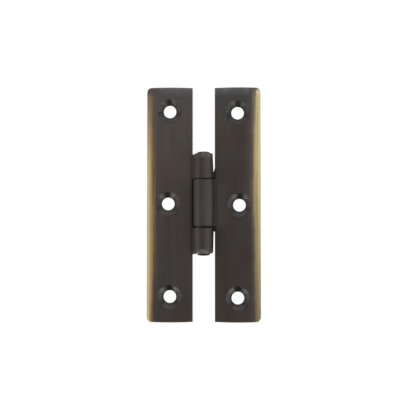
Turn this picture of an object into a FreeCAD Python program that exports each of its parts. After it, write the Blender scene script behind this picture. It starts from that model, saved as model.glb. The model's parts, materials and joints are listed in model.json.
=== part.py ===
import FreeCAD, Part
import math
import os
import re

import Sketcher

# H hinge of dark patinated brass, laid flat: two leaves on one pin.
# The pin stands along Z through the origin, the leaves lie to the left (-X) and to the right (+X),
# the front faces -Y, and the backs of leaves and barrel share one plane, as screwed to a door.

# Driving sizes in millimetres: name, value, what it measures.
SIZES = (
    ("leaf_length", "76", "leaf, end to end along its middle"),
    ("leaf_width", "14.8", "leaf, inner edge to outer edge"),
    ("leaf_thick", "2.5", "leaf plate"),
    ("end_bow", "0.2", "rise of each bowed leaf end at its middle"),
    ("corner_round", "1.75", "outer corners of a leaf, seen from the front"),
    ("long_round", "1.3", "front edge along a leaf's outer side, worn round"),
    ("inner_round", "0.3", "front edge along a leaf's inner side"),
    ("back_round", "0.25", "back edge along a leaf's outer side"),
    ("rim_round", "0.6", "front edge along a leaf's ends"),
    ("barrel_diameter", "6.5", "barrel, over the middle knuckle"),
    ("barrel_length", "32.5", "barrel, end to end without the pin's heads"),
    ("barrel_lift", "0.35", "middle of the barrel above the middle of the leaves"),
    ("middle_length", "15.4", "middle knuckle"),
    ("middle_lift", "0.41", "middle of that knuckle above the middle of the leaves"),
    ("knuckle_gap", "0.06", "running gap between knuckles, at their flat ends"),
    ("upper_edge", "0.12", "broken edges at the upper running gap"),
    ("lower_edge", "0.18", "broken edges at the lower running gap"),
    ("upper_taper", "0.32", "radius that the upper knuckle loses towards its end"),
    ("lower_taper", "0.16", "radius that the lower knuckle loses towards its end"),
    ("end_fall", "0.25", "upper end of the barrel, from the pin's head down to the rim"),
    ("upper_round", "0.25", "rim at the barrel's upper end"),
    ("lower_round", "0.9", "rim at the barrel's lower end, filed rounder"),
    ("leaf_clear", "0.35", "barrel to the inner edge of a leaf"),
    ("cove_clear", "0.3", "knuckle to the cove milled behind it"),
    ("lip_reach", "1.2", "lip left behind a cove, past the leaf's inner edge"),
    ("web_drop", "0.3", "front of the web below the front of the leaf"),
    ("web_round", "0.7", "hollow between the leaf's front and the side of its knuckle"),
    ("web_fall", "0.25", "upper end of the left leaf's web, from the rim down to the leaf"),
    ("web_dip", "0.2", "lower end of that web, from the barrel's end down to the leaf"),
    ("upper_run", "4.1", "web of the right leaf past the top of its knuckle, along the leaf"),
    ("run_round", "3.4", "hollow in which that web runs out into the leaf's inner edge"),
    ("lower_run", "1.6", "the same past the bottom of its knuckle"),
    ("pin_diameter", "3", "hinge pin, tight in the outer knuckles"),
    ("pin_clear", "0.05", "pin to the bore of the middle knuckle, all round"),
    ("head_overhang", "0.45", "peened head past the side of the pin"),
    ("head_dome", "0.25", "rise of a peened head's dome"),
    ("upper_head", "0.42", "peened head above the barrel's upper end"),
    ("lower_head", "0.65", "peened head below the barrel's lower end"),
    ("screw_diameter", "4.1", "screw hole"),
    ("sink_diameter", "8", "countersink at the leaf's front"),
    ("sink_angle", "90", "countersink, side to side, in degrees"),
    ("hole_inset", "8", "end screw hole from the end of the leaf"),
    ("hole_stagger", "0.55", "middle screw hole outward of the leaf's middle line"),
    ("hole_drift", "0.23", "screw holes above the middle of the left leaf, and below that of the right"),
)

# Sizes that follow from the driving ones.
DERIVED = (
    ("barrel_radius", "=barrel_diameter / 2", "also the plane of the backs"),
    ("front_plane", "=barrel_radius - leaf_thick", "plane of the leaves' fronts"),
    ("inner_edge", "=barrel_radius + leaf_clear", "pin's axis to a leaf"),
    ("outer_edge", "=inner_edge + leaf_width", "pin's axis to a leaf's far side"),
    ("middle_line", "=inner_edge + leaf_width / 2", "pin's axis to the middle of a leaf"),
    ("leaf_half", "=leaf_length / 2", "middle of a leaf to its end"),
    ("bow_radius", "=(leaf_width ^ 2 / 4 + end_bow ^ 2) / (2 * end_bow)", "arc of a bowed end"),
    ("bow_centre", "=leaf_half - bow_radius", "height of that arc's centre"),
    ("corner_side", "=leaf_width / 2 - corner_round", "corner arc's centre off the middle line"),
    ("corner_rise", "=sqrt((bow_radius - corner_round) ^ 2 - corner_side ^ 2)", "and above the bow's"),
    ("corner_share", "=bow_radius / (bow_radius - corner_round)", "from it out to where the arcs touch"),
    ("waste", "=leaf_thick", "how far a cut runs past the metal"),
    ("barrel_top", "=barrel_lift + barrel_length / 2", "upper end of the barrel"),
    ("barrel_bottom", "=barrel_lift - barrel_length / 2", "lower end of the barrel"),
    ("rim_top", "=barrel_top - end_fall", "rim at the barrel's upper end"),
    ("middle_top", "=middle_lift + middle_length / 2", "upper end of the middle knuckle"),
    ("middle_bottom", "=middle_lift - middle_length / 2", "lower end of the middle knuckle"),
    ("upper_bottom", "=middle_top + knuckle_gap", "lower end of the upper knuckle"),
    ("lower_top", "=middle_bottom - knuckle_gap", "upper end of the lower knuckle"),
    ("upper_radius", "=barrel_radius - upper_taper", "upper knuckle near its end"),
    ("lower_radius", "=barrel_radius - lower_taper", "lower knuckle near its end"),
    ("cove_radius", "=barrel_radius + cove_clear", "cove behind a knuckle"),
    ("lip_edge", "=inner_edge - lip_reach", "pin's axis to a lip"),
    ("lip_depth", "=sqrt(cove_radius ^ 2 - lip_edge ^ 2)", "where cove and lip meet"),
    ("hollow_level", "=front_plane - web_round", "depth of the centre of a knuckle's hollow"),
    ("hollow_reach", "=sqrt((barrel_radius + web_round) ^ 2 - hollow_level ^ 2)", "and its distance out"),
    ("hollow_share", "=barrel_radius / (barrel_radius + web_round)", "from it in to the knuckle"),
    ("run_out", "=run_round * sqrt(0.5)", "eighth of a turn of the web's hollow"),
    ("pin_radius", "=pin_diameter / 2", "hinge pin"),
    ("head_radius", "=pin_radius + head_overhang", "peened head"),
    ("dome_radius", "=(head_radius ^ 2 + head_dome ^ 2) / (2 * head_dome)", "arc of a peened head's dome"),
    ("hole_level", "=leaf_half - hole_inset", "end screw hole above the middle of the leaf"),
)

LEFT, RIGHT = "-", "+"
TOP, BOTTOM = "+", "-"
SIZE_NAME = re.compile(r"[a-z_]{3,}")
LISTED = {row[0] for row in SIZES + DERIVED}

doc = FreeCAD.newDocument("h_hinge")


def fill_sheet():
    """The sheet of sizes: driving numbers first, then what follows from them."""
    sheet = doc.addObject("Spreadsheet::Sheet", "Sizes")
    for row, (name, value, meaning) in enumerate(SIZES + DERIVED, 1):
        sheet.set(f"A{row}", name)
        sheet.set(f"B{row}", value)
        sheet.setAlias(f"B{row}", name)
        sheet.set(f"C{row}", meaning)
    doc.recompute()
    return sheet


sizes = fill_sheet()


def sized(text):
    """An expression on the sheet's sizes, from their plain names."""
    return SIZE_NAME.sub(lambda m: "Sizes." + m.group() if m.group() in LISTED else m.group(), text)


def size(text):
    """What such an expression is worth now, in millimetres."""
    return float(sizes.evalExpression(sized(text)))


def sketch_on(body, name, role, level):
    """An empty sketch on one of the body's own planes, moved along its normal by level."""
    sketch = body.newObject("Sketcher::SketchObject", name)
    plane = next(p for p in body.Origin.OriginFeatures if p.Role == role)
    sketch.AttachmentSupport = (plane, "")
    sketch.MapMode = "FlatFace"
    sketch.setExpression("AttachmentOffset.Base.z", sized(level))
    return sketch


def hold(sketch, kind, *which, to):
    """One dimension of the sketch, tied to an expression."""
    index = sketch.addConstraint(Sketcher.Constraint(kind, *which, size(to)))
    sketch.setExpression(f"Constraints[{index}]", sized(to))


def place(sketch, geometry, end, x, y):
    """A point of the sketch, held at x and y."""
    hold(sketch, "DistanceX", geometry, end, to=x)
    hold(sketch, "DistanceY", geometry, end, to=y)


def arc_between(start, stop, radius, to_right):
    """The arc under half a turn from start to stop, bulging to the right or the left of the way."""
    chord = stop - start
    rise = radius - math.sqrt(radius ** 2 - (chord.Length / 2) ** 2)
    aside = FreeCAD.Vector(chord.y, -chord.x, 0).normalize() * (rise if to_right else -rise)
    return Part.Arc(start, (start + stop) / 2 + aside, stop)


def outline(sketch, points):
    """A closed outline of lines and arcs.

    A point is (x, y), or (x, y, radius) where an arc leads from it to the next point: one that bulges
    out of the outline, or into it if a minus stands before the radius.
    """
    spots = [FreeCAD.Vector(size(p[0]), size(p[1]), 0) for p in points]
    count = len(points)
    nexts = spots[1:] + spots[:1]
    leftward = sum(a.x * b.y - a.y * b.x for a, b in zip(spots, nexts)) > 0
    ends = []
    for point, start, stop in zip(points, spots, nexts):
        if len(point) == 2:
            sketch.addGeometry(Part.LineSegment(start, stop))
            ends.append((1, 2))
        else:
            to_right = leftward != point[2].startswith("-")
            sketch.addGeometry(arc_between(start, stop, size(point[2].lstrip("-")), to_right))
            ends.append((1, 2) if to_right else (2, 1))
    for i, point in enumerate(points):
        before = (i - 1) % count
        place(sketch, i, ends[i][0], point[0], point[1])
        sketch.addConstraint(Sketcher.Constraint("Coincident", before, ends[before][1], i, ends[i][0]))
        if len(point) == 3:
            hold(sketch, "Radius", i, to=point[2].lstrip("-"))


def mirrored(side, points):
    """The points of an outline with x turned to the given side."""
    return [(f"{side}({x})", *rest) for x, *rest in points]


def feature(body, kind, name, sketch, **expressions):
    """A feature made from the sketch, with properties tied to expressions."""
    made = body.newObject("PartDesign::" + kind, name)
    made.Profile = sketch
    for key, text in expressions.items():
        made.setExpression(key, sized(text))
    return made


def cut(body, kind, name, sketch, settings, **expressions):
    """A feature that takes metal away, which is checked."""
    before = body.Shape.Volume
    made = feature(body, kind, name, sketch, **expressions)
    for key, value in settings.items():
        setattr(made, key, value)
    doc.recompute()
    assert body.Shape.Volume < before, name + " cuts nothing"


def pad(body, name, sketch, length):
    feature(body, "Pad", name, sketch, Length=length)
    doc.recompute()


def turned(body, name, points):
    """A round form about the pin's axis, from its half section in X and Z."""
    sketch = sketch_on(body, name + "_section", "XZ_Plane", "0")
    outline(sketch, points)
    made = feature(body, "Revolution", name, sketch)
    made.ReferenceAxis = (sketch, ["V_Axis"])
    made.Angle = 360
    doc.recompute()


def drawn_plate(body, side):
    """The leaf's bar: one drawn section with its worn long edges, as long as the leaf."""
    section = sketch_on(body, "plate_section", "XY_Plane", "-leaf_half")
    outline(section, mirrored(side, [
        ("inner_edge", "barrel_radius"),
        ("inner_edge", "front_plane + inner_round", "inner_round"),
        ("inner_edge + inner_round", "front_plane"),
        ("outer_edge - long_round", "front_plane", "long_round"),
        ("outer_edge", "front_plane + long_round"),
        ("outer_edge", "barrel_radius - back_round", "back_round"),
        ("outer_edge - back_round", "barrel_radius"),
    ]))
    pad(body, "plate", section, "leaf_length")


def bowed_end(body, side, end, name):
    """Cuts one end of the bar to its bow, with the front edge rounded, about the bow's far centre."""
    sketch = sketch_on(body, name + "_section", "YZ_Plane", f"{side}middle_line")
    corners = [
        ("front_plane - waste", "leaf_half - rim_round"),
        ("front_plane", "leaf_half - rim_round", "-rim_round"),
        ("front_plane + rim_round", "leaf_half"),
        ("barrel_radius + waste", "leaf_half"),
        ("barrel_radius + waste", "leaf_half + waste"),
        ("front_plane - waste", "leaf_half + waste"),
    ]
    outline(sketch, [(y, f"{end}({z})", *rest) for y, z, *rest in corners])
    near = FreeCAD.Vector(0, size(f"{end}bow_centre"), 0)
    far = near + FreeCAD.Vector(size("waste"), 0, 0)
    axis = sketch.addGeometry(Part.LineSegment(near, far), True)
    place(sketch, axis, 1, "0", f"{end}bow_centre")
    place(sketch, axis, 2, "waste", f"{end}bow_centre")
    settings = {"ReferenceAxis": (sketch, ["Axis0"]), "Midplane": True}
    cut(body, "Groove", name, sketch, settings, Angle="2 * asin((leaf_width / 2 + waste) / bow_radius)")


def rounded_corner(body, side, end, name):
    """Rounds the outer corner at one end, from the long edge into the bow."""
    sketch = sketch_on(body, name + "_outline", "XZ_Plane", "-barrel_radius")
    touch = "middle_line + corner_side * corner_share"
    corners = [
        ("outer_edge", "bow_centre + corner_rise", "-corner_round"),
        (touch, "bow_centre + corner_rise * corner_share"),
        (touch, "leaf_half + waste"),
        ("outer_edge + waste", "leaf_half + waste"),
        ("outer_edge + waste", "bow_centre + corner_rise"),
    ]
    outline(sketch, mirrored(side, [(x, f"{end}({z})", *rest) for x, z, *rest in corners]))
    cut(body, "Pocket", name, sketch, {"Type": "ThroughAll", "Reversed": True})


def plain_leaf(body, side):
    """The leaf before its web, knuckles and holes."""
    drawn_plate(body, side)
    for end, word in ((TOP, "top"), (BOTTOM, "bottom")):
        bowed_end(body, side, end, word + "_end")
        rounded_corner(body, side, end, word + "_corner")


def web(body, corners):
    """The web between leaf and barrel, flush at the back and a little below the leaf's front."""
    sketch = sketch_on(body, "web_outline", "XZ_Plane", "-barrel_radius")
    outline(sketch, corners)
    pad(body, "web", sketch, "leaf_thick - web_drop")


def knuckle_hollow(body, side, name, low, high):
    """Fills the corner between a leaf's front and the side of its own knuckle, leaving a hollow."""
    sketch = sketch_on(body, name + "_section", "XY_Plane", low)
    outline(sketch, mirrored(side, [
        ("hollow_reach", "front_plane + web_drop"),
        ("hollow_reach", "front_plane", "-web_round"),
        ("hollow_reach * hollow_share", "hollow_level * hollow_share"),
        ("lip_edge", "hollow_level * hollow_share"),
        ("lip_edge", "front_plane + web_drop"),
    ]))
    pad(body, name, sketch, f"{high} - ({low})")


def cove(body, side, name, level, length, upward=False):
    """Mills the web back to a cove round the other leaf's knuckle, with a blunt lip at the back."""
    sketch = sketch_on(body, name + "_outline", "XY_Plane", level)
    outline(sketch, mirrored(side, [
        ("lip_edge", "barrel_radius + waste"),
        ("lip_edge", "lip_depth", "cove_radius"),
        ("0", "-cove_radius"),
        ("-cove_radius", "-cove_radius"),
        ("-cove_radius", "barrel_radius + waste"),
    ]))
    cut(body, "Pocket", name, sketch, {"Reversed": upward}, Length=length)


def pin_bore(body, radius):
    """The bore for the pin, through every knuckle of the leaf."""
    sketch = sketch_on(body, "pin_bore_circle", "XY_Plane", "barrel_top")
    sketch.addGeometry(Part.Circle(FreeCAD.Vector(), FreeCAD.Vector(0, 0, 1), size(radius)))
    sketch.addConstraint(Sketcher.Constraint("Coincident", 0, 3, -1, 1))
    hold(sketch, "Radius", 0, to=radius)
    cut(body, "Pocket", "pin_bore", sketch, {"Type": "ThroughAll"})


def screw_holes(body, side):
    """Countersunk screw holes; the middle one stands outward, off the line of the end ones."""
    sketch = sketch_on(body, "screw_hole_circles", "XZ_Plane", "-front_plane")
    centres = mirrored(side, [
        ("middle_line", f"hole_level - ({side}hole_drift)"),
        ("middle_line + hole_stagger", f"-({side}hole_drift)"),
        ("middle_line", f"-hole_level - ({side}hole_drift)"),
    ])
    for i, (x, z) in enumerate(centres):
        spot = FreeCAD.Vector(size(x), size(z), 0)
        sketch.addGeometry(Part.Circle(spot, FreeCAD.Vector(0, 0, 1), size("screw_diameter / 2")))
        hold(sketch, "Diameter", i, to="screw_diameter")
        place(sketch, i, 3, x, z)
    doc.recompute()
    cut(
        body, "Hole", "screw_holes", sketch,
        {"DepthType": "ThroughAll", "HoleCutType": "Countersink", "HoleCutCustomValues": True},
        Diameter="screw_diameter",
        HoleCutDiameter="sink_diameter",
        HoleCutCountersinkAngle="sink_angle",
    )


def new_body(name):
    body = doc.addObject("PartDesign::Body", name)
    body.Label = name
    return body


def left_leaf():
    """The leaf with the two outer knuckles."""
    body = new_body("left_leaf")
    plain_leaf(body, LEFT)
    web(body, [
        ("-inner_edge", "barrel_bottom - web_dip"),
        ("-head_radius", "barrel_bottom"),
        ("0", "barrel_bottom + lower_round"),
        ("0", "rim_top - upper_round"),
        ("-inner_edge", "rim_top - web_fall"),
    ])
    cove(body, LEFT, "middle_cove", "upper_bottom", "upper_bottom - lower_top")
    knuckle_hollow(body, LEFT, "upper_hollow", "upper_bottom", "rim_top - web_fall")
    knuckle_hollow(body, LEFT, "lower_hollow", "barrel_bottom", "lower_top")
    turned(body, "upper_knuckle", [
        ("0", "upper_bottom"),
        ("barrel_radius - upper_edge", "upper_bottom"),
        ("barrel_radius", "upper_bottom + upper_edge"),
        ("upper_radius", "rim_top - upper_round", "upper_round"),
        ("upper_radius - upper_round", "rim_top"),
        ("head_radius", "barrel_top"),
        ("0", "barrel_top"),
    ])
    turned(body, "lower_knuckle", [
        ("0", "barrel_bottom"),
        ("lower_radius - lower_round", "barrel_bottom", "lower_round"),
        ("lower_radius", "barrel_bottom + lower_round"),
        ("barrel_radius", "lower_top - lower_edge"),
        ("barrel_radius - lower_edge", "lower_top"),
        ("0", "lower_top"),
    ])
    pin_bore(body, "pin_radius")
    screw_holes(body, LEFT)
    return body


def right_leaf():
    """The leaf with the middle knuckle."""
    body = new_body("right_leaf")
    plain_leaf(body, RIGHT)
    web(body, [
        ("0", "middle_bottom"),
        ("inner_edge", "middle_bottom - lower_run"),
        ("inner_edge", "middle_top + upper_run", "-run_round"),
        ("inner_edge - run_round + run_out", "middle_top + upper_run - run_out"),
        ("0", "middle_top"),
    ])
    cove(body, RIGHT, "upper_cove", "middle_top", "upper_run", upward=True)
    cove(body, RIGHT, "lower_cove", "middle_bottom", "lower_run")
    knuckle_hollow(body, RIGHT, "middle_hollow", "middle_bottom", "middle_top")
    turned(body, "middle_knuckle", [
        ("0", "middle_bottom"),
        ("barrel_radius - lower_edge", "middle_bottom"),
        ("barrel_radius", "middle_bottom + lower_edge"),
        ("barrel_radius", "middle_top - upper_edge"),
        ("barrel_radius - upper_edge", "middle_top"),
        ("0", "middle_top"),
    ])
    pin_bore(body, "pin_radius + pin_clear")
    screw_holes(body, RIGHT)
    return body


def hinge_pin():
    """The pin, with a low peened dome over each end of the barrel."""
    body = new_body("hinge_pin")
    turned(body, "pin", [
        ("0", "barrel_bottom - lower_head", "dome_radius"),
        ("head_radius", "barrel_bottom - lower_head + head_dome"),
        ("head_radius", "barrel_bottom"),
        ("pin_radius", "barrel_bottom"),
        ("pin_radius", "barrel_top"),
        ("head_radius", "barrel_top"),
        ("head_radius", "barrel_top + upper_head - head_dome", "dome_radius"),
        ("0", "barrel_top + upper_head"),
    ])
    return body


pieces = [left_leaf(), right_leaf(), hinge_pin()]
doc.recompute()

for thing in doc.Objects:
    assert not {"Invalid", "Error"} & set(thing.State), thing.Name + " failed"
for piece in pieces:
    assert not piece.Shape.isNull() and piece.Shape.isValid(), piece.Label + " has no sound shape"
    assert len(piece.Shape.Solids) == 1, piece.Label + " is not one solid"

os.makedirs("parts", exist_ok=True)
for piece in pieces:
    piece.Shape.exportStep(f"parts/{piece.Label}.step")
    print(piece.Label, round(piece.Shape.Volume, 2), "mm3")
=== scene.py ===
import functools
import json
import math

import bpy
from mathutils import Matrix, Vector


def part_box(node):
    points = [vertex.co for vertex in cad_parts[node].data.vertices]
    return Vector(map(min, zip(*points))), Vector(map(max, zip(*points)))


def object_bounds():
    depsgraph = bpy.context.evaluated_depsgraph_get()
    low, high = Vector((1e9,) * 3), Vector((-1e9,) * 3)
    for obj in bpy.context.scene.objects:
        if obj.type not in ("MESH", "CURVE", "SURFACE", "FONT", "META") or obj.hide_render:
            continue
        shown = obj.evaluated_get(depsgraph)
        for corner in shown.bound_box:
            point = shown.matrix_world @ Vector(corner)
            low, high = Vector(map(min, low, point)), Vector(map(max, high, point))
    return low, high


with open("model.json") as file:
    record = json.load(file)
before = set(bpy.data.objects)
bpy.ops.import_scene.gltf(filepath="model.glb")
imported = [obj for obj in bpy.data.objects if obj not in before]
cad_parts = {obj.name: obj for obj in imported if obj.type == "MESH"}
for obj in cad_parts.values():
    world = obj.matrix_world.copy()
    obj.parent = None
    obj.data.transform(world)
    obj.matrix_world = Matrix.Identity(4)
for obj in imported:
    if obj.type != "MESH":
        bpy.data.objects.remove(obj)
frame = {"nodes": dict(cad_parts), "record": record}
cad_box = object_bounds()

# Lengths are in millimetres and turned to metres where they reach an object.
MM = 0.001
PER_METRE = 1000.0

# The hinge's own sizes, from the frame, and a hair's breadth of room beside a face.
OUTER_EDGE = cad_box[1].x * PER_METRE
LEAF_END = cad_box[1].z * PER_METRE
LEAF_BACK = cad_box[1].y * PER_METRE
BARREL_RADIUS = -cad_box[0].y * PER_METRE
PIN_LOW, PIN_HIGH = (corner.z * PER_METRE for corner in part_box("hinge_pin"))
HAIR = 0.1

# Colours as the eye names them, sRGB. The brown patina, its casts, its rubbed places, the barrel's worn
# ends with painted highlights, and painted shade:
PATINA_BROWN = "#362f2b"
PATINA_GREY = "#393533"
PATINA_RED = "#3c302d"
PATINA_GREEN = "#33322d"
PATINA_VIOLET = "#3f3938"
PATINA_COOL = "#353535"
PATINA_SINK = "#363433"
PATINA_RUBBED = "#4b4a4a"
BARREL_WORN_HIGHLIGHT = "#62605c"
PAINTED_SHADE_DARK = "#0e0d0c"

# The bare brass from the outer edge inward, on the left leaf and then on the right one:
BRASS_PALE = "#9c9174"
BRASS_GOLD = "#8b774d"
BRASS_OCHRE = "#6f5c3d"
BRASS_SILVERY = "#9c947b"
BRASS_OLIVE = "#887b50"
BRASS_TAN = "#8d7d5f"

# The studio:
WHITE = "#ffffff"
FLOOR_PALE = "#f4f3f1"

# Sockets of a Mix node: its two colours and the mixed one, and its two plain numbers.
MIX_A, MIX_B, MIX_OUT = 6, 7, 2
PLAIN_A, PLAIN_B = 2, 3


def linear(code):
    """An sRGB hex colour as linear red, green, blue and alpha."""
    shares = [int(code[i:i + 2], 16) / 255 for i in (1, 3, 5)]
    return [s / 12.92 if s <= 0.04045 else ((s + 0.055) / 1.055) ** 2.4 for s in shares] + [1.0]


def add(tree, kind, inputs, out=0, **settings):
    """Adds a node, sets it up, feeds its inputs with values or other outputs, and gives an output."""
    made = tree.nodes.new("ShaderNode" + kind)
    for key, value in settings.items():
        setattr(made, key, value)
    for key, value in inputs.items():
        if isinstance(value, bpy.types.NodeSocket):
            tree.links.new(value, made.inputs[key])
        else:
            made.inputs[key].default_value = value
    return made.outputs[out] if made.outputs else None


def new_tree(owner):
    """The owner's node tree, emptied, as a function that adds nodes to it."""
    owner.use_nodes = True
    owner.node_tree.nodes.clear()
    return functools.partial(add, owner.node_tree)


def new_finish(name):
    """A new material, the function that adds its nodes, and a point's place in millimetres."""
    material = bpy.data.materials.new(name)
    node = new_tree(material)
    metres = node("TexCoord", {}, "Object")
    return material, node, node("VectorMath", {0: metres, "Scale": PER_METRE}, operation="SCALE")


def distance_from(node, value, middle):
    """How far a value lies from a middle, on either side."""
    off = node("Math", {0: value, 1: middle}, operation="SUBTRACT")
    return node("Math", {0: off}, operation="ABSOLUTE")


# The brown patina: the size of its blotches and of its coloured casts, how wide and long the bar's
# drawing lines are, and its grain, which is really finer and is drawn coarse enough to show.
BLOTCH = 13.0
CAST = 8.0
CAST_SEED = 9.8
LINE_WIDE, LINE_LONG = 1.6, 30.0
GRAIN = 0.4
GRAIN_DEEP = 0.004

# The noise values between which each tint sets in, how strong a cast gets, the noise values from the
# darkest drawing line to the lightest with their shades, and how rough the satin is from grain to grain.
GREY_FROM, GREY_TO = 0.35, 0.65
RED_FROM, RED_TO = 0.53, 0.72
GREEN_FROM, GREEN_TO = 0.47, 0.28
CAST_SHARE = 0.5
LINE_FROM, LINE_TO = 0.3, 0.7
LINE_DARK, LINE_LIGHT = 0.93, 1.07
SATIN_LEAST, SATIN_MOST = 0.54, 0.68


def patina(node, place):
    """Colour of the brown patina: soft blotches, a red or green cast and faint drawing lines."""
    blotch = node("TexNoise", {"Vector": place, "Scale": 1 / BLOTCH, "Detail": 2.0})
    cast = node("TexNoise", {
        "Vector": place, "W": CAST_SEED, "Scale": 1 / CAST, "Detail": 1.0,
    }, noise_dimensions="4D")
    grey = node("MapRange", {"Value": blotch, "From Min": GREY_FROM, "From Max": GREY_TO})
    red = node("MapRange", {
        "Value": cast, "From Min": RED_FROM, "From Max": RED_TO, "To Max": CAST_SHARE,
    })
    green = node("MapRange", {
        "Value": cast, "From Min": GREEN_FROM, "From Max": GREEN_TO, "To Max": CAST_SHARE,
    })
    colour = linear(PATINA_BROWN)
    for share, tint in ((grey, PATINA_GREY), (red, PATINA_RED), (green, PATINA_GREEN)):
        colour = node("Mix", {
            "Factor": share, MIX_A: colour, MIX_B: linear(tint),
        }, MIX_OUT, data_type="RGBA")

    along = node("VectorMath", {
        0: place, 1: (1 / LINE_WIDE, 1 / LINE_WIDE, 1 / LINE_LONG),
    }, operation="MULTIPLY")
    line = node("TexNoise", {"Vector": along, "Scale": 1.0, "Detail": 3.0})
    shade = node("MapRange", {
        "Value": line, "From Min": LINE_FROM, "From Max": LINE_TO,
        "To Min": LINE_DARK, "To Max": LINE_LIGHT,
    })
    return node("VectorMath", {0: colour, "Scale": shade}, operation="SCALE")


def satin_grain(node, place):
    """The height of the patina's grain, and the roughness that goes with it."""
    grain = node("TexNoise", {"Vector": place, "Scale": 1 / GRAIN, "Detail": 3.0})
    return grain, node("MapRange", {"Value": grain, "To Min": SATIN_LEAST, "To Max": SATIN_MOST})


# The leaves' top ends: how far down they are rubbed to grey and how near the end fully so, the size of
# the rubbed clouds, their noise values and how far the gaps between them are rubbed too, and how far down
# and how strongly the brown is cooler there.
END_REACH = 3.4
END_FULL = 0.4
END_CLOUD = 2.4
CLOUD_FROM, CLOUD_TO = 0.35, 0.65
CLOUD_LEAST = 0.55
COOL_REACH = 13.0
COOL_SHARE = 0.85


def rubbed_end(node, place, z):
    """How far a leaf's top end is rubbed to grey: clouds that fade out downward."""
    cloud = node("TexNoise", {"Vector": place, "Scale": 1 / END_CLOUD, "Detail": 2.0})
    high = node("MapRange", {
        "Value": z, "From Min": LEAF_END - END_REACH, "From Max": LEAF_END - END_FULL,
    }, interpolation_type="SMOOTHSTEP")
    thin = node("MapRange", {
        "Value": cloud, "From Min": CLOUD_FROM, "From Max": CLOUD_TO, "To Min": CLOUD_LEAST,
    })
    return node("Math", {0: high, 1: thin}, operation="MULTIPLY")


# Upright patches with soft edges: their middle across, how far from it they are full and where they are
# gone, the heights between which they fade out towards both ends, and how strong they are. The right leaf
# is rubbed to grey beside the middle knuckle, and painted shade darkens the corners beside the barrel.
RUBBED_WEB = {"middle": 4.8, "wide": (0.8, 4.4), "high": (5.0, 8.5), "share": 0.24}
CORNER_SHADE_LEFT = {
    "middle": -3.8, "wide": (0.25, 0.75), "high": (PIN_HIGH - 1.6, PIN_HIGH - 0.6), "share": 0.42,
}
CORNER_SHADE_RIGHT = {"middle": 3.7, "wide": (0.25, 0.7), "high": (7.0, 8.0), "share": 0.4}


def patch(node, x, z, area):
    """How strongly an upright patch covers a point, from 0 to the patch's share."""
    full_across, gone_across = area["wide"]
    full_high, gone_high = area["high"]
    across = node("MapRange", {
        "Value": distance_from(node, x, area["middle"]),
        "From Min": gone_across, "From Max": full_across, "To Max": area["share"],
    }, interpolation_type="SMOOTHSTEP")
    height = node("Math", {0: z}, operation="ABSOLUTE")
    beside = node("MapRange", {
        "Value": height, "From Min": gone_high, "From Max": full_high,
    }, interpolation_type="SMOOTHSTEP")
    return node("Math", {0: across, 1: beside}, operation="MULTIPLY")


# The barrel's ends, worn and with painted highlights on their rounded rims: about how far the pin's heads
# stand past their rims, how far the rims are rounded, how far in the wear and painted highlights reach, how
# much of them the end faces keep, and the size of the spots with their noise values.
HEAD = 0.7
END_ROUND = 0.3
WORN_HIGHLIGHT_REACH = 1.7
FACE_WORN_HIGHLIGHT = 0.3
SPOT = 1.3
SPOT_FROM, SPOT_TO = 0.42, 0.68
BARREL_LOW = PIN_LOW + HEAD
BARREL_HIGH = PIN_HIGH - HEAD


def on_barrel(node, place):
    """1 on the barrel and 0 on the leaf."""
    axle = node("VectorMath", {0: place, 1: (1.0, 1.0, 0.0)}, operation="MULTIPLY")
    out = node("VectorMath", {0: axle}, "Value", operation="LENGTH")
    return node("Math", {0: out, 1: BARREL_RADIUS + HAIR}, operation="LESS_THAN")


def worn_highlit_barrel_end(node, place, z):
    """Bright spots near both ends of the barrel: hammer marks and wear, with painted highlights on the
    rounded rims.
    """
    high = node("MapRange", {
        "Value": z, "From Min": BARREL_HIGH - WORN_HIGHLIGHT_REACH, "From Max": BARREL_HIGH - END_ROUND,
    })
    low = node("MapRange", {
        "Value": z, "From Min": BARREL_LOW + WORN_HIGHLIGHT_REACH, "From Max": BARREL_LOW + END_ROUND,
    })
    ends = node("Math", {0: high, 1: low}, operation="MAXIMUM")
    height = node("Math", {0: z}, operation="ABSOLUTE")
    face = node("MapRange", {
        "Value": height, "From Min": BARREL_HIGH - END_ROUND, "From Max": BARREL_HIGH,
        "To Min": 1.0, "To Max": FACE_WORN_HIGHLIGHT,
    })
    ends = node("Math", {0: ends, 1: face}, operation="MULTIPLY")
    spot = node("TexNoise", {"Vector": place, "Scale": 1 / SPOT, "Detail": 4.0, "Roughness": 0.6})
    bright = node("MapRange", {"Value": spot, "From Min": SPOT_FROM, "From Max": SPOT_TO})
    return node("Math", {0: ends, 1: bright}, operation="MULTIPLY")


# Painted shade on the barrel, in the joints between the knuckles and on its right flank: the heights of the
# joints, how far it spreads beside each and over how many times that it fades out, how dark the flank gets,
# the size of its patches, their noise values and how strong the weakest patches are.
JOINTS = (8.14, -7.32)
JOINT_WIDE = (0.15, 0.27)
JOINT_FADE = 2.0
FLANK_SHARE = 0.9
SHADE_PATCH = 1.8
SHADE_FROM, SHADE_TO = 0.35, 0.5
SHADE_LEAST = 0.55


def shaded_joints(node, place, x, z, flank):
    """How strongly painted shade darkens the joints between the knuckles and the barrel's right flank, from
    0 to 1.
    """
    painted_shade = node("TexNoise", {"Vector": place, "Scale": 1 / SHADE_PATCH, "Detail": 1.0})
    patchy = node("MapRange", {
        "Value": painted_shade, "From Min": SHADE_FROM, "From Max": SHADE_TO, "To Min": SHADE_LEAST,
    })
    dark = node("MapRange", {
        "Value": x, "From Min": flank[0], "From Max": flank[1], "To Max": FLANK_SHARE,
    })
    for height, wide in zip(JOINTS, JOINT_WIDE):
        away = distance_from(node, z, height)
        near = node("MapRange", {"Value": away, "From Min": JOINT_FADE * wide, "From Max": wide})
        dark = node("Math", {0: near, 1: dark}, operation="MAXIMUM")
    return node("Math", {0: dark, 1: patchy}, operation="MULTIPLY")
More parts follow.
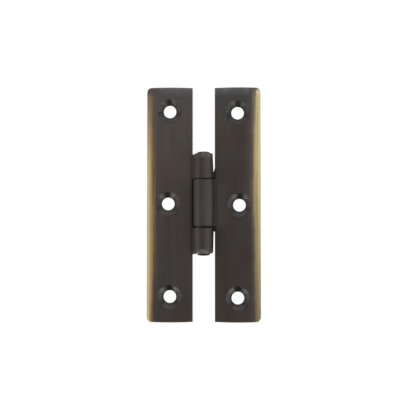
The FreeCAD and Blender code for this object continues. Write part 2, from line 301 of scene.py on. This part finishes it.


# On the barrel the brown lies thick and dull and shows little metal: how rough and how metallic it is, and
# its share of the plain brown. Painted highlights and shade run along it in light and dark bands: from one
# light band to the next, the middle of a light one, where on the way from dark to light they turn greyer,
# and how much greyer.
BARREL_ROUGH = 0.5
BARREL_METAL = 0.25
BARREL_TONE = 0.85
BAND = 3.8
BAND_PLACE = 1.2
BAND_GREY_FROM, BAND_GREY_TO = -0.4, 0.8
BAND_GREY_SHARE = 0.45


def painted_highlight_bands(node, x):
    """The barrel's lengthwise bands of painted highlight and shade, from -1 in the darkest to 1 in the
    lightest.
    """
    off = node("Math", {0: x, 1: BAND_PLACE}, operation="SUBTRACT")
    turn = node("Math", {0: off, 1: 2 * math.pi / BAND}, operation="MULTIPLY")
    return node("Math", {0: turn}, operation="COSINE")


# The strips rubbed bare along the outer edges.
# width: the strip's width low and high on the leaf, and turn: the heights between which it changes.
# narrow: how much narrower it gets from the leaf's middle to its top end.
# start: the heights between which it sets in below the top end.
# level: two heights, each with how bare the strip is there.
# edge: the shares of its width between which it goes from brown to bare.
# tail: how much of the brass still shows in a thin trace beside it.
# brass: its colours from the outer edge inward, and shine: how much brighter they are at the top end.
# halo: how light the violet border beside it is, low and high on the leaf.
RUBBED_LEFT = {
    "width": (2.1, 2.9),
    "turn": (-36.0, -18.0),
    "narrow": 0.3,
    "start": (37.0, 34.0),
    "level": ((34.0, 0.32), (12.0, 0.99)),
    "edge": (1.2, 0.3),
    "tail": 0.06,
    "brass": (BRASS_PALE, BRASS_GOLD, BRASS_OCHRE),
    "shine": 1.0,
    "halo": (0.76, 1.02),
}
RUBBED_RIGHT = {
    "width": (2.1, 2.9),
    "turn": (-11.0, 8.0),
    "narrow": 1.0,
    "start": (37.8, 36.4),
    "level": ((-36.0, 0.36), (4.0, 1.0)),
    "edge": (1.1, 0.65),
    "tail": 0.27,
    "brass": (BRASS_SILVERY, BRASS_OLIVE, BRASS_TAN),
    "shine": 1.28,
    "halo": (0.77, 1.1),
}

# Both strips: the length of the waves in their border and how far in or out they go, the streaks with
# their noise values and shades and how far they tear the border, and how far in front of the leaf's back
# the strips are full.
WAVE = 7.0
RAGGED = 0.5
STREAK_WIDE, STREAK_LONG = 0.5, 22.0
STREAK_FROM, STREAK_TO = 0.3, 0.7
STREAK_DARK, STREAK_LIGHT = 0.78, 1.22
TORN = 0.35
BACK_KEPT = 0.6

# The shares of a strip's width between which its trace, its violet border and its two inner colours set in.
TAIL_FROM, TAIL_TO = 1.45, 0.9
HALO_FROM, HALO_TO = 2.4, 1.0
SECOND_FROM, SECOND_TO = 0.1, 0.4
THIRD_FROM, THIRD_TO = 0.5, 0.95


def rubbed_edge(node, place, x, y, z, strip):
    """A strip rubbed along the outer edge: how far in a point lies, its streaks, and how bare it is."""
    across = node("Math", {0: x}, operation="ABSOLUTE")
    inward = node("Math", {0: OUTER_EDGE, 1: across}, operation="SUBTRACT")
    broad = node("MapRange", {
        "Value": z, "From Min": strip["turn"][0], "From Max": strip["turn"][1],
        "To Min": strip["width"][0], "To Max": strip["width"][1],
    }, interpolation_type="SMOOTHSTEP")
    along = node("CombineXYZ", {"Z": z})
    wave = node("TexNoise", {"Vector": along, "Scale": 1 / WAVE, "Detail": 3.0, "Roughness": 0.6})
    ragged = node("MapRange", {"Value": wave, "To Min": -RAGGED, "To Max": RAGGED})
    lost = node("MapRange", {"Value": z, "From Max": LEAF_END, "To Max": -strip["narrow"]})
    reach = node("Math", {0: broad, 1: ragged}, operation="ADD")
    reach = node("Math", {0: reach, 1: lost}, operation="ADD")
    share = node("Math", {0: inward, 1: reach}, operation="DIVIDE")

    streaks = node("VectorMath", {
        0: place, 1: (1 / STREAK_WIDE, 1 / STREAK_WIDE, 1 / STREAK_LONG),
    }, operation="MULTIPLY")
    streak = node("TexNoise", {"Vector": streaks, "Scale": 1.0, "Detail": 2.0})
    torn = node("MapRange", {"Value": streak, "To Min": -TORN, "To Max": TORN})
    near = node("Math", {0: share, 1: torn}, operation="ADD")
    bare = node("MapRange", {
        "Value": near, "From Min": strip["edge"][0], "From Max": strip["edge"][1],
    }, interpolation_type="SMOOTHSTEP")
    tail = node("MapRange", {
        "Value": near, "From Min": TAIL_FROM, "From Max": TAIL_TO, "To Max": strip["tail"],
    })
    bare = node("Math", {0: bare, 1: tail}, operation="MAXIMUM")

    begun = node("MapRange", {
        "Value": z, "From Min": strip["start"][0], "From Max": strip["start"][1],
    }, interpolation_type="SMOOTHSTEP")
    (far_height, far_level), (full_height, full_level) = strip["level"]
    level = node("MapRange", {
        "Value": z, "From Min": far_height, "From Max": full_height,
        "To Min": far_level, "To Max": full_level,
    })
    front = node("MapRange", {
        "Value": y, "From Min": LEAF_BACK - HAIR, "From Max": LEAF_BACK - BACK_KEPT,
    })
    for strength in (begun, level, front):
        bare = node("Math", {0: bare, 1: strength}, operation="MULTIPLY")
    return near, streak, bare


def violet_border(node, near, z, strip):
    """How strong the violet border beside a strip is, and its colour."""
    halo = node("MapRange", {
        "Value": near, "From Min": HALO_FROM, "From Max": HALO_TO,
    }, interpolation_type="SMOOTHSTEP")
    fade = node("MapRange", {
        "Value": z, "From Min": -LEAF_END, "From Max": LEAF_END,
        "To Min": strip["halo"][0], "To Max": strip["halo"][1],
    })
    return halo, node("VectorMath", {0: linear(PATINA_VIOLET)[:3], "Scale": fade}, operation="SCALE")


def bare_brass(node, near, streak, ends, z, strip):
    """Colour of the bare brass: pale at the outer edge and on rubbed ends, deeper inward, streaky."""
    outer, second, third = strip["brass"]
    deeper = node("MapRange", {"Value": near, "From Min": SECOND_FROM, "From Max": SECOND_TO})
    deeper = node("Math", {0: deeper, 1: ends}, operation="SUBTRACT", use_clamp=True)
    brass = node("Mix", {
        "Factor": deeper, MIX_A: linear(outer), MIX_B: linear(second),
    }, MIX_OUT, data_type="RGBA")
    light = node("MapRange", {
        "Value": streak, "From Min": STREAK_FROM, "From Max": STREAK_TO,
        "To Min": STREAK_DARK, "To Max": STREAK_LIGHT,
    })
    brass = node("VectorMath", {0: brass, "Scale": light}, operation="SCALE")
    inner = node("MapRange", {"Value": near, "From Min": THIRD_FROM, "From Max": THIRD_TO})
    brass = node("Mix", {
        "Factor": inner, MIX_A: brass, MIX_B: linear(third),
    }, MIX_OUT, data_type="RGBA")
    shine = node("MapRange", {
        "Value": z, "From Max": LEAF_END, "To Min": 1.0, "To Max": strip["shine"],
    })
    return node("VectorMath", {0: brass, "Scale": shine}, operation="SCALE")


# The countersinks: their radius with a hair to spare, how soft their rim is, how far back they end, the
# bore's radius, how rough they are, and the cutter's rings, which are drawn coarse enough to show.
SINK_RADIUS = 4.05
SINK_FADE = 0.4
SINK_FLOOR = 2.75
BORE_RADIUS = 2.05
SINK_ROUGH = 0.3
RING = 0.2
RING_DEEP = 0.013

# What is painted in them: painted shade round the bore, how far it reaches and the share of colour that it
# leaves, and a painted dark reflection at the top, how far above the bore's middle it is, how wide it is
# dark and where it ends, and how dark it is low and high on the leaf.
BORE_SHADE_REACH = 1.0
BORE_SHADE_SHARE = 0.4
TOP_DARK_UP = 2.95
TOP_DARK_FULL, TOP_DARK_GONE = 0.75, 1.2
TOP_DARK_LOW, TOP_DARK_HIGH = 0.9, 0.05


def screw_holes(side):
    """The middles of a leaf's screw holes, across and up, from the record's mounts."""
    holes = []
    for mount in frame["record"]["mounts"]:
        if mount["name"].startswith(side) and mount["kind"] != "flat_face":
            across, up = mount["pos_m"][0] * PER_METRE, mount["pos_m"][2] * PER_METRE
            half = mount["dims"].get("spacing_y_mm", 0.0) / 2
            holes += sorted({(across, up - half), (across, up + half)})
    return holes


def nearest_of(node, flat, points):
    """How far the nearest of some points is, seen from the front."""
    nearest = 2 * SINK_RADIUS
    for across, up in points:
        away = node("VectorMath", {0: flat, 1: (across, 0.0, up)}, "Value", operation="DISTANCE")
        nearest = node("Math", {0: away, 1: nearest}, operation="MINIMUM")
    return nearest


def countersinks(node, place, y, z, holes):
    """1 in the countersinks and 0 elsewhere, their colour with painted shade round the bore and a painted
    dark reflection at the top, and the height of the cutter's rings.
    """
    flat = node("VectorMath", {0: place, 1: (1.0, 0.0, 1.0)}, operation="MULTIPLY")
    away = nearest_of(node, flat, holes)
    close = node("MapRange", {
        "Value": away, "From Min": SINK_RADIUS, "From Max": SINK_RADIUS - SINK_FADE,
    })
    in_front = node("Math", {0: y, 1: SINK_FLOOR}, operation="LESS_THAN")
    inside = node("Math", {0: close, 1: in_front}, operation="MULTIPLY")

    lit_share = node("MapRange", {
        "Value": away, "From Min": BORE_RADIUS, "From Max": BORE_RADIUS + BORE_SHADE_REACH,
        "To Min": BORE_SHADE_SHARE,
    })
    top_dark_strength = node("MapRange", {
        "Value": z, "From Min": -LEAF_END, "From Max": LEAF_END, "To Min": TOP_DARK_LOW, "To Max": TOP_DARK_HIGH,
    })
    top_dark_away = nearest_of(node, flat, [(across, up + TOP_DARK_UP) for across, up in holes])
    top_dark = node("MapRange", {
        "Value": top_dark_away, "From Min": TOP_DARK_GONE, "From Max": TOP_DARK_FULL, "To Max": top_dark_strength,
    })
    undarkened = node("Math", {0: 1.0, 1: top_dark}, operation="SUBTRACT")
    lit_share = node("Math", {0: lit_share, 1: undarkened}, operation="MULTIPLY")
    colour = node("VectorMath", {0: linear(PATINA_SINK)[:3], "Scale": lit_share}, operation="SCALE")

    turn = node("Math", {0: away, 1: 2 * math.pi / RING}, operation="MULTIPLY")
    ring = node("Math", {0: turn}, operation="SINE")
    return inside, colour, node("Math", {0: ring, 1: inside}, operation="MULTIPLY")


# The two leaves.
# tone: two heights, each with its share of the plain brown.
# band: how much the painted highlight and shade bands lighten and darken the leaf's knuckles.
# flank: where across, on the right of its knuckles, the painted shade sets in and where it is full.
# corner: the patch of painted shade in the corner beside the barrel.
LEFT_LEAF = {
    "side": "left",
    "tone": ((-8.0, 0.89), (12.0, 1.2)),
    "band": 0.22,
    "flank": (2.45, 2.95),
    "corner": CORNER_SHADE_LEFT,
    "strip": RUBBED_LEFT,
}
RIGHT_LEAF = {
    "side": "right",
    "tone": ((-6.0, 0.83), (24.0, 0.96)),
    "band": 0.13,
    "flank": (2.8, 3.3),
    "corner": CORNER_SHADE_RIGHT,
    "strip": RUBBED_RIGHT,
}

# How much a surface that isn't bare metal still shines, as the thick brown on the barrel.
DULL_SHINE = 0.1


def leaf_brown(node, place, x, z, barrel, leaf):
    """The leaf's brown before wear: deeper low down, cooler at the top, dull on the barrel with bands of
    painted highlight and shade that turn greyer where light.
    """
    (low, low_share), (high, high_share) = leaf["tone"]
    depth = node("MapRange", {
        "Value": z, "From Min": low, "From Max": high, "To Min": low_share, "To Max": high_share,
    }, interpolation_type="SMOOTHSTEP")
    band = painted_highlight_bands(node, x)
    highlit = node("MapRange", {
        "Value": band, "From Min": -1.0,
        "To Min": BARREL_TONE * (1 - leaf["band"]), "To Max": BARREL_TONE * (1 + leaf["band"]),
    })
    depth = node("Mix", {"Factor": barrel, PLAIN_A: depth, PLAIN_B: highlit}, data_type="FLOAT")

    cool = node("MapRange", {
        "Value": z, "From Min": LEAF_END - COOL_REACH, "From Max": LEAF_END - END_REACH,
        "To Max": COOL_SHARE,
    }, interpolation_type="SMOOTHSTEP")
    highlight_grey = node("MapRange", {
        "Value": band, "From Min": BAND_GREY_FROM, "From Max": BAND_GREY_TO, "To Max": BAND_GREY_SHARE,
    })
    highlight_grey = node("Math", {0: highlight_grey, 1: barrel}, operation="MULTIPLY")
    cool = node("Math", {0: cool, 1: highlight_grey}, operation="MAXIMUM")
    colour = node("Mix", {
        "Factor": cool, MIX_A: patina(node, place), MIX_B: linear(PATINA_COOL),
    }, MIX_OUT, data_type="RGBA")
    return node("VectorMath", {0: colour, "Scale": depth}, operation="SCALE")


def bronzed_leaf(name, leaf):
    """Drawn brass bar, milled, then chemically browned and oiled.

    The eye sees a dark brown satin with soft blotches. Where hands and the polishing wheel took the
    brown off, along the outer edge, the yellow brass shows with a streaky, fading border. The
    countersinks, cut across the grain, keep a thinner, greyer brown with the cutter's rings, with painted
    shade round the bore and a painted dark reflection at the top. The barrel is duller, with bands of
    painted highlight and shade along it, bright spots of wear and painted highlight at its ends, and
    painted shade in its joints, on its right flank and in the corners beside it.
    """
    material, node, place = new_finish(name)
    x, y, z = node("SeparateXYZ", {"Vector": place}, slice(None))
    barrel = on_barrel(node, place)
    sunk, sink_brown, ring = countersinks(node, place, y, z, screw_holes(leaf["side"]))
    ends = node("Math", {
        0: rubbed_end(node, place, z), 1: patch(node, x, z, RUBBED_WEB),
    }, operation="MAXIMUM")
    spots = node("Math", {0: worn_highlit_barrel_end(node, place, z), 1: barrel}, operation="MULTIPLY")
    joints = shaded_joints(node, place, x, z, leaf["flank"])
    painted_shade = node("Math", {0: joints, 1: barrel}, operation="MULTIPLY")
    painted_shade = node("Math", {0: painted_shade, 1: patch(node, x, z, leaf["corner"])}, operation="MAXIMUM")
    near, streak, bare = rubbed_edge(node, place, x, y, z, leaf["strip"])
    halo, violet = violet_border(node, near, z, leaf["strip"])
    brass = bare_brass(node, near, streak, ends, z, leaf["strip"])

    # Each layer covers those before it as far as its share says. The spots are wear with painted
    # highlights, and the dark layer is painted shade.
    layers = (
        (sunk, sink_brown),
        (ends, linear(PATINA_RUBBED)),
        (spots, linear(BARREL_WORN_HIGHLIGHT)),
        (painted_shade, linear(PAINTED_SHADE_DARK)),
        (halo, violet),
        (bare, brass),
    )
    colour = leaf_brown(node, place, x, z, barrel, leaf)
    for share, layer in layers:
        colour = node("Mix", {"Factor": share, MIX_A: colour, MIX_B: layer}, MIX_OUT, data_type="RGBA")

    grain, rough = satin_grain(node, place)
    rough = node("Mix", {"Factor": barrel, PLAIN_A: rough, PLAIN_B: BARREL_ROUGH}, data_type="FLOAT")
    rough = node("Mix", {"Factor": sunk, PLAIN_A: rough, PLAIN_B: SINK_ROUGH}, data_type="FLOAT")
    metal = node("Mix", {"Factor": barrel, PLAIN_A: 1.0, PLAIN_B: BARREL_METAL}, data_type="FLOAT")
    grained = node("Bump", {"Height": grain, "Distance": GRAIN_DEEP * MM})
    turned = node("Bump", {"Height": ring, "Distance": RING_DEEP * MM, "Normal": grained})
    surface = node("BsdfPrincipled", {
        "Base Color": colour, "Metallic": metal, "Roughness": rough, "Normal": turned,
        "Specular IOR Level": DULL_SHINE,
    })
    node("OutputMaterial", {"Surface": surface})
    return material


# The pin's peened heads: the size of a hammer mark and its depth, the marks' values from hollow to high
# spot, how grey a high spot is rubbed, and the share of colour kept at the lower head, as the pin gets
# darker towards the bottom.
HAMMER_MARK = 1.1
HAMMER_DEEP = 0.06
MARK_FROM, MARK_TO = 0.3, 0.7
MARK_SHARE = 0.7
LOW_HEAD_SHARE = 0.5


def bronzed_pin(name):
    """Turned brass rod, its ends hammered over to low domes, then browned with the leaves.

    The eye sees the same dark brown, with flat hammer marks and greyer high spots.
    """
    material, node, place = new_finish(name)
    z = node("SeparateXYZ", {"Vector": place}, "Z")
    marks = node("TexVoronoi", {"Vector": place, "Scale": 1 / HAMMER_MARK}, feature="SMOOTH_F1")
    high = node("MapRange", {
        "Value": marks, "From Min": MARK_FROM, "From Max": MARK_TO, "To Max": MARK_SHARE,
    })
    colour = node("Mix", {
        "Factor": high, MIX_A: patina(node, place), MIX_B: linear(PATINA_RUBBED),
    }, MIX_OUT, data_type="RGBA")
    lower_darker = node("MapRange", {
        "Value": z, "From Min": PIN_LOW, "From Max": PIN_HIGH, "To Min": LOW_HEAD_SHARE, "To Max": 1.0,
    })
    colour = node("VectorMath", {0: colour, "Scale": lower_darker}, operation="SCALE")
    rough = satin_grain(node, place)[1]
    hammered = node("Bump", {"Height": marks, "Distance": HAMMER_DEEP * MM})
    surface = node("BsdfPrincipled", {
        "Base Color": colour, "Metallic": 1.0, "Roughness": rough, "Normal": hammered,
    })
    node("OutputMaterial", {"Surface": surface})
    return material


def dress():
    """Gives every node its finish."""
    finishes = {
        "left_leaf": bronzed_leaf("patinated_brass_left_leaf", LEFT_LEAF),
        "right_leaf": bronzed_leaf("patinated_brass_right_leaf", RIGHT_LEAF),
        "hinge_pin": bronzed_pin("patinated_brass_pin"),
    }
    for name, finish in finishes.items():
        frame["nodes"][name].data.materials[0] = finish


# The soft lamps: place, width and height, and radiance, where 1 is as bright as the white background. One
# is above in front and one at each side, two low ones reach into the tops of the countersinks, and a weak
# one lights the back.
SOFTBOXES = {
    "softbox_above": ((0, -150, 190), (360, 160), 3.5),
    "softbox_left": ((-250, -110, -40), (160, 260), 2.6),
    "softbox_right": ((250, -110, -40), (160, 260), 3.0),
    "softbox_low_left": ((-140, -95, -190), (130, 110), 8.0),
    "softbox_low_right": ((140, -95, -190), (130, 110), 8.0),
    "softbox_behind": ((0, 280, 50), (300, 160), 1.8),
}


def lights():
    """Sets up the soft lamps, which all look at the hinge."""
    for name, (place, (wide, high), radiance) in SOFTBOXES.items():
        lamp = bpy.data.lights.new(name, "AREA")
        lamp.shape = "RECTANGLE"
        lamp.size = wide * MM
        lamp.size_y = high * MM
        lamp.energy = radiance * math.pi * lamp.size * lamp.size_y
        holder = bpy.data.objects.new(name, lamp)
        holder.location = Vector(place) * MM
        holder.rotation_euler = (-holder.location).to_track_quat("-Z", "Y").to_euler()
        bpy.context.scene.collection.objects.link(holder)


# How strongly the white surround lights what only scatters light, such as the floor's paint.
SURROUND_FILL = 0.3


def seen_directly(node):
    """1 for rays of the camera, of reflections and of transmission, else 0."""
    eye = node("LightPath", {}, "Is Camera Ray")
    gloss = node("LightPath", {}, "Is Glossy Ray")
    glass = node("LightPath", {}, "Is Transmission Ray")
    some = node("Math", {0: eye, 1: gloss}, operation="MAXIMUM")
    return node("Math", {0: some, 1: glass}, operation="MAXIMUM")


def white_world():
    """A white surround for the eye and for reflections, and a softer fill for everything else."""
    world = bpy.data.worlds.new("white_surround")
    node = new_tree(world)
    strength = node("MapRange", {"Value": seen_directly(node), "To Min": SURROUND_FILL, "To Max": 1.0})
    surround = node("Background", {"Color": linear(WHITE), "Strength": strength})
    node("OutputWorld", {"Surface": surround})
    bpy.context.scene.world = world


# The floor: how far below the hinge's middle, how large, how far out its paint is plain and where it is as
# white as the surround, and how many times sooner that comes sideways.
FLOOR_DROP = 260.0
FLOOR_HALF = 900.0
FLOOR_PLAIN, FLOOR_WHITE = 120.0, 300.0
FLOOR_NARROW = 2.0


def pale_floor():
    """A plain pale floor well below the hinge, which is made to be screwed to a door.

    Its paint keeps the hinge's shadow, and further out it fades into the white surround.
    """
    mesh = bpy.data.meshes.new("floor")
    corners = [(-1, -1), (1, -1), (1, 1), (-1, 1)]
    spots = [Vector((x * FLOOR_HALF, y * FLOOR_HALF, -FLOOR_DROP)) * MM for x, y in corners]
    mesh.from_pydata(spots, [], [(0, 1, 2, 3)])
    floor = bpy.data.objects.new("floor", mesh)
    bpy.context.scene.collection.objects.link(floor)
    material = bpy.data.materials.new("pale_floor")
    node = new_tree(material)
    paint = node("BsdfDiffuse", {"Color": linear(FLOOR_PALE)})
    glow = node("Emission", {"Color": linear(WHITE), "Strength": 1.0})
    metres = node("TexCoord", {}, "Object")
    level = node("VectorMath", {0: metres, 1: (FLOOR_NARROW, 1.0, 0.0)}, operation="MULTIPLY")
    away = node("VectorMath", {0: level}, "Value", operation="LENGTH")
    faded = node("MapRange", {
        "Value": away, "From Min": FLOOR_PLAIN * MM, "From Max": FLOOR_WHITE * MM,
    }, interpolation_type="SMOOTHSTEP")
    share = node("Math", {0: faded, 1: seen_directly(node)}, operation="MULTIPLY")
    surface = node("MixShader", {"Fac": share, 1: paint, 2: glow})
    node("OutputMaterial", {"Surface": surface})
    mesh.materials.append(material)


# The photograph's view: how far the camera stands, how many degrees round and above, its focal length, and
# the point that it looks at.
CAMERA_DISTANCE = 300.0
CAMERA_ROUND = 1.23
CAMERA_ABOVE = -2.03
CAMERA_LENS = 83.94
CAMERA_AIM = (-1.17, 0.0, 1.38)


def camera():
    """The camera where the photograph was taken from."""
    lens = bpy.data.cameras.new("camera")
    lens.lens = CAMERA_LENS
    holder = bpy.data.objects.new("camera", lens)
    turn, rise = math.radians(CAMERA_ROUND), math.radians(CAMERA_ABOVE)
    out = Vector((math.sin(turn) * math.cos(rise), -math.cos(turn) * math.cos(rise), math.sin(rise)))
    holder.location = out * CAMERA_DISTANCE * MM
    look = Vector(CAMERA_AIM) * MM - holder.location
    holder.rotation_euler = look.to_track_quat("-Z", "Y").to_euler()
    bpy.context.scene.collection.objects.link(holder)
    bpy.context.scene.camera = holder


dress()
lights()
white_world()
pale_floor()
camera()
bpy.context.scene.view_settings.view_transform = "Standard"
